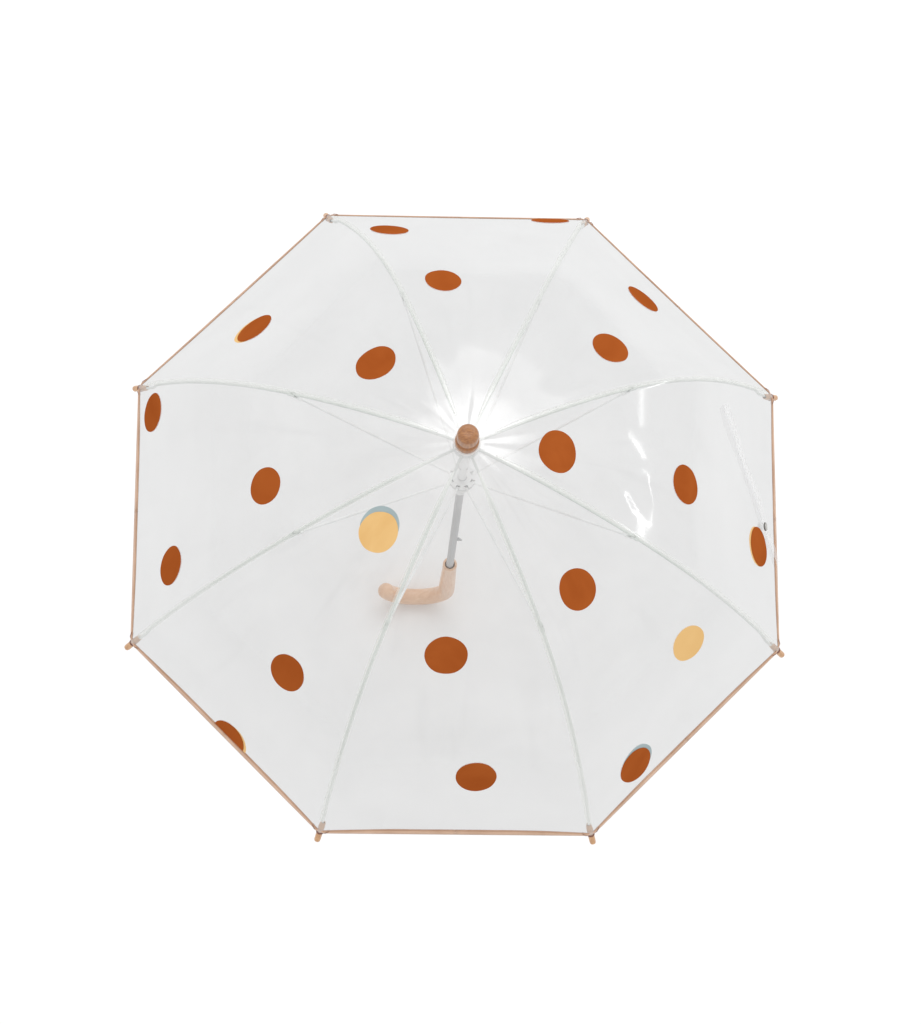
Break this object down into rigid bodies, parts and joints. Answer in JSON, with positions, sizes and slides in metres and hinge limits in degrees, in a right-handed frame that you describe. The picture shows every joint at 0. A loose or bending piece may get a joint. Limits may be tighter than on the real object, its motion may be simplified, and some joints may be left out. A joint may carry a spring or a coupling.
{
  "type": "clear dome umbrella",
  "caption": "Open clear-film dome umbrella on white folding ribs, with a sliding runner, wooden J handle, ferrule and rib tips, and dots printed on the film.",
  "frame": {"origin": "the hand's place on the shaft axis, half-way down the handle's straight part", "axes": "+Z along the shaft towards the ferrule; -X is the way the handle hooks"},
  "size_m": [0.67, 0.67, 0.6174],
  "materials": {
    "beech_wood": "lightly varnished",
    "painted_shaft": "light grey gloss paint",
    "painted_ribs": "white gloss paint",
    "white_plastic": "smooth moulded",
    "steel_fittings": "bright plated",
    "clear_film": "clear glossy film with welded seams along the ribs",
    "hem_binding": "peach woven binding sewn over the hem",
    "printed_ink": "printed dots, most of them brown, some mustard or grey-blue",
    "dark_thread": "dark brown thread that ties the hem to the rib tips"
  },
  "bodies": {
    "handle_and_shaft": {"handle": "beech_wood", "shaft": "painted_shaft", "stop_pin": "steel_fittings", "crown": "white_plastic", "crown_wire": "steel_fittings", "top_washer": "white_plastic", "ferrule": "beech_wood"},
    "runner": {"runner": "white_plastic", "runner_wire": "steel_fittings"},
    "lower_catch": {"lower_catch": "painted_shaft"},
    "upper_catch": {"upper_catch": "painted_shaft"},
    "rib_1": {"rib_inner_1": "painted_ribs", "canopy_inner_1": "clear_film"},
    "rib_end_1": {"rib_outer_1": "painted_ribs", "tip_1": "beech_wood", "canopy_outer_1": "clear_film"},
    "stretcher_1": {"stretcher_1": "painted_ribs"},
    "rib_2": {"rib_inner_2": "painted_ribs", "canopy_inner_2": "clear_film"},
    "rib_end_2": {"rib_outer_2": "painted_ribs", "tip_2": "beech_wood", "canopy_outer_2": "clear_film"},
    "stretcher_2": {"stretcher_2": "painted_ribs"},
    "rib_3": {"rib_inner_3": "painted_ribs", "canopy_inner_3": "clear_film"},
    "rib_end_3": {"rib_outer_3": "painted_ribs", "tip_3": "beech_wood", "canopy_outer_3": "clear_film"},
    "stretcher_3": {"stretcher_3": "painted_ribs"},
    "rib_4": {"rib_inner_4": "painted_ribs", "canopy_inner_4": "clear_film"},
    "rib_end_4": {"rib_outer_4": "painted_ribs", "tip_4": "beech_wood", "canopy_outer_4": "clear_film"},
    "stretcher_4": {"stretcher_4": "painted_ribs"},
    "rib_5": {"rib_inner_5": "painted_ribs", "canopy_inner_5": "clear_film"},
    "rib_end_5": {"rib_outer_5": "painted_ribs", "tip_5": "beech_wood", "canopy_outer_5": "clear_film"},
    "stretcher_5": {"stretcher_5": "painted_ribs"},
    "rib_6": {"rib_inner_6": "painted_ribs", "canopy_inner_6": "clear_film"},
    "rib_end_6": {"rib_outer_6": "painted_ribs", "tip_6": "beech_wood", "canopy_outer_6": "clear_film"},
    "stretcher_6": {"stretcher_6": "painted_ribs"},
    "rib_7": {"rib_inner_7": "painted_ribs", "canopy_inner_7": "clear_film"},
    "rib_end_7": {"rib_outer_7": "painted_ribs", "tip_7": "beech_wood", "canopy_outer_7": "clear_film"},
    "stretcher_7": {"stretcher_7": "painted_ribs"},
    "rib_8": {"rib_inner_8": "painted_ribs", "canopy_inner_8": "clear_film"},
    "rib_end_8": {"rib_outer_8": "painted_ribs", "tip_8": "beech_wood", "canopy_outer_8": "clear_film", "press_stud": "steel_fittings"},
    "stretcher_8": {"stretcher_8": "painted_ribs"}
  },
  "joints": [
    {"name": "rib_1_fold", "type": "hinge", "parent": "handle_and_shaft", "child": "rib_1", "pos_m": [0.01109, 0.00459, 0.484], "axis": [-0.3827, 0.9239, 0], "range_deg": [0, 62], "deforming": ["canopy_inner_1", "canopy_outer_1"]},
    {"name": "rib_1_flex", "type": "hinge", "parent": "rib_1", "child": "rib_end_1", "pos_m": [0.16421, 0.06802, 0.43261], "axis": [-0.3827, 0.9239, 0], "range_deg": [-23, 0]},
    {"name": "stretcher_1_swing", "type": "hinge", "parent": "rib_1", "child": "stretcher_1", "pos_m": [0.16251, 0.06731, 0.42928], "axis": [-0.3827, 0.9239, 0], "range_deg": [-124, 0]},
    {"name": "rib_2_fold", "type": "hinge", "parent": "handle_and_shaft", "child": "rib_2", "pos_m": [0.00459, 0.01109, 0.484], "axis": [-0.9239, 0.3827, 0], "range_deg": [0, 62], "deforming": ["canopy_inner_2", "canopy_outer_2"]},
    {"name": "rib_2_flex", "type": "hinge", "parent": "rib_2", "child": "rib_end_2", "pos_m": [0.06802, 0.16421, 0.43261], "axis": [-0.9239, 0.3827, 0], "range_deg": [-23, 0]},
    {"name": "stretcher_2_swing", "type": "hinge", "parent": "rib_2", "child": "stretcher_2", "pos_m": [0.06731, 0.16251, 0.42928], "axis": [-0.9239, 0.3827, 0], "range_deg": [-124, 0]},
    {"name": "rib_3_fold", "type": "hinge", "parent": "handle_and_shaft", "child": "rib_3", "pos_m": [-0.00459, 0.01109, 0.484], "axis": [-0.9239, -0.3827, 0], "range_deg": [0, 62], "deforming": ["canopy_inner_3", "canopy_outer_3"]},
    {"name": "rib_3_flex", "type": "hinge", "parent": "rib_3", "child": "rib_end_3", "pos_m": [-0.06802, 0.16421, 0.43261], "axis": [-0.9239, -0.3827, 0], "range_deg": [-23, 0]},
    {"name": "stretcher_3_swing", "type": "hinge", "parent": "rib_3", "child": "stretcher_3", "pos_m": [-0.06731, 0.16251, 0.42928], "axis": [-0.9239, -0.3827, 0], "range_deg": [-124, 0]},
    {"name": "rib_4_fold", "type": "hinge", "parent": "handle_and_shaft", "child": "rib_4", "pos_m": [-0.01109, 0.00459, 0.484], "axis": [-0.3827, -0.9239, 0], "range_deg": [0, 62], "deforming": ["canopy_inner_4", "canopy_outer_4"]},
    {"name": "rib_4_flex", "type": "hinge", "parent": "rib_4", "child": "rib_end_4", "pos_m": [-0.16421, 0.06802, 0.43261], "axis": [-0.3827, -0.9239, 0], "range_deg": [-23, 0]},
    {"name": "stretcher_4_swing", "type": "hinge", "parent": "rib_4", "child": "stretcher_4", "pos_m": [-0.16251, 0.06731, 0.42928], "axis": [-0.3827, -0.9239, 0], "range_deg": [-124, 0]},
    {"name": "rib_5_fold", "type": "hinge", "parent": "handle_and_shaft", "child": "rib_5", "pos_m": [-0.01109, -0.00459, 0.484], "axis": [0.3827, -0.9239, 0], "range_deg": [0, 62], "deforming": ["canopy_inner_5", "canopy_outer_5"]},
    {"name": "rib_5_flex", "type": "hinge", "parent": "rib_5", "child": "rib_end_5", "pos_m": [-0.16421, -0.06802, 0.43261], "axis": [0.3827, -0.9239, 0], "range_deg": [-23, 0]},
    {"name": "stretcher_5_swing", "type": "hinge", "parent": "rib_5", "child": "stretcher_5", "pos_m": [-0.16251, -0.06731, 0.42928], "axis": [0.3827, -0.9239, 0], "range_deg": [-124, 0]},
    {"name": "rib_6_fold", "type": "hinge", "parent": "handle_and_shaft", "child": "rib_6", "pos_m": [-0.00459, -0.01109, 0.484], "axis": [0.9239, -0.3827, 0], "range_deg": [0, 62], "deforming": ["canopy_inner_6", "canopy_outer_6"]},
    {"name": "rib_6_flex", "type": "hinge", "parent": "rib_6", "child": "rib_end_6", "pos_m": [-0.06802, -0.16421, 0.43261], "axis": [0.9239, -0.3827, 0], "range_deg": [-23, 0]},
    {"name": "stretcher_6_swing", "type": "hinge", "parent": "rib_6", "child": "stretcher_6", "pos_m": [-0.06731, -0.16251, 0.42928], "axis": [0.9239, -0.3827, 0], "range_deg": [-124, 0]},
    {"name": "rib_7_fold", "type": "hinge", "parent": "handle_and_shaft", "child": "rib_7", "pos_m": [0.00459, -0.01109, 0.484], "axis": [0.9239, 0.3827, 0], "range_deg": [0, 62], "deforming": ["canopy_inner_7", "canopy_outer_7"]},
    {"name": "rib_7_flex", "type": "hinge", "parent": "rib_7", "child": "rib_end_7", "pos_m": [0.06802, -0.16421, 0.43261], "axis": [0.9239, 0.3827, 0], "range_deg": [-23, 0]},
    {"name": "stretcher_7_swing", "type": "hinge", "parent": "rib_7", "child": "stretcher_7", "pos_m": [0.06731, -0.16251, 0.42928], "axis": [0.9239, 0.3827, 0], "range_deg": [-124, 0]},
    {"name": "rib_8_fold", "type": "hinge", "parent": "handle_and_shaft", "child": "rib_8", "pos_m": [0.01109, -0.00459, 0.484], "axis": [0.3827, 0.9239, 0], "range_deg": [0, 62], "deforming": ["canopy_inner_8", "canopy_outer_8", "press_stud"]},
    {"name": "rib_8_flex", "type": "hinge", "parent": "rib_8", "child": "rib_end_8", "pos_m": [0.16421, -0.06802, 0.43261], "axis": [0.3827, 0.9239, 0], "range_deg": [-23, 0]},
    {"name": "stretcher_8_swing", "type": "hinge", "parent": "rib_8", "child": "stretcher_8", "pos_m": [0.16251, -0.06731, 0.42928], "axis": [0.3827, 0.9239, 0], "range_deg": [-124, 0]},
    {"name": "runner_travel", "type": "hinge", "parent": "stretcher_1", "child": "runner", "pos_m": [0.01109, 0.00459, 0.37457], "axis": [-0.3827, 0.9239, 0], "range_deg": [0, 62]},
    {"name": "lower_catch_press", "type": "hinge", "parent": "handle_and_shaft", "child": "lower_catch", "pos_m": [0.0015, 0, 0.1697], "axis": [0, 1, 0], "range_deg": [0, 14], "stiffness_Nm_per_rad": 0.2, "deforming": ["lower_catch"]},
    {"name": "upper_catch_press", "type": "hinge", "parent": "handle_and_shaft", "child": "upper_catch", "pos_m": [0.0015, 0, 0.33557], "axis": [0, -1, 0], "range_deg": [0, 14], "stiffness_Nm_per_rad": 0.2, "deforming": ["upper_catch"]}
  ],
  "couplings": [
    {"joint": "rib_1_flex", "follows": "rib_1_fold", "ratio": -0.37},
    {"joint": "stretcher_1_swing", "follows": "rib_1_fold", "ratio": -2},
    {"joint": "rib_2_fold", "follows": "rib_1_fold", "ratio": 1},
    {"joint": "rib_2_flex", "follows": "rib_1_fold", "ratio": -0.37},
    {"joint": "stretcher_2_swing", "follows": "rib_1_fold", "ratio": -2},
    {"joint": "rib_3_fold", "follows": "rib_1_fold", "ratio": 1},
    {"joint": "rib_3_flex", "follows": "rib_1_fold", "ratio": -0.37},
    {"joint": "stretcher_3_swing", "follows": "rib_1_fold", "ratio": -2},
    {"joint": "rib_4_fold", "follows": "rib_1_fold", "ratio": 1},
    {"joint": "rib_4_flex", "follows": "rib_1_fold", "ratio": -0.37},
    {"joint": "stretcher_4_swing", "follows": "rib_1_fold", "ratio": -2},
    {"joint": "rib_5_fold", "follows": "rib_1_fold", "ratio": 1},
    {"joint": "rib_5_flex", "follows": "rib_1_fold", "ratio": -0.37},
    {"joint": "stretcher_5_swing", "follows": "rib_1_fold", "ratio": -2},
    {"joint": "rib_6_fold", "follows": "rib_1_fold", "ratio": 1},
    {"joint": "rib_6_flex", "follows": "rib_1_fold", "ratio": -0.37},
    {"joint": "stretcher_6_swing", "follows": "rib_1_fold", "ratio": -2},
    {"joint": "rib_7_fold", "follows": "rib_1_fold", "ratio": 1},
    {"joint": "rib_7_flex", "follows": "rib_1_fold", "ratio": -0.37},
    {"joint": "stretcher_7_swing", "follows": "rib_1_fold", "ratio": -2},
    {"joint": "rib_8_fold", "follows": "rib_1_fold", "ratio": 1},
    {"joint": "rib_8_flex", "follows": "rib_1_fold", "ratio": -0.37},
    {"joint": "stretcher_8_swing", "follows": "rib_1_fold", "ratio": -2},
    {"joint": "runner_travel", "follows": "rib_1_fold", "ratio": 1}
  ]
}
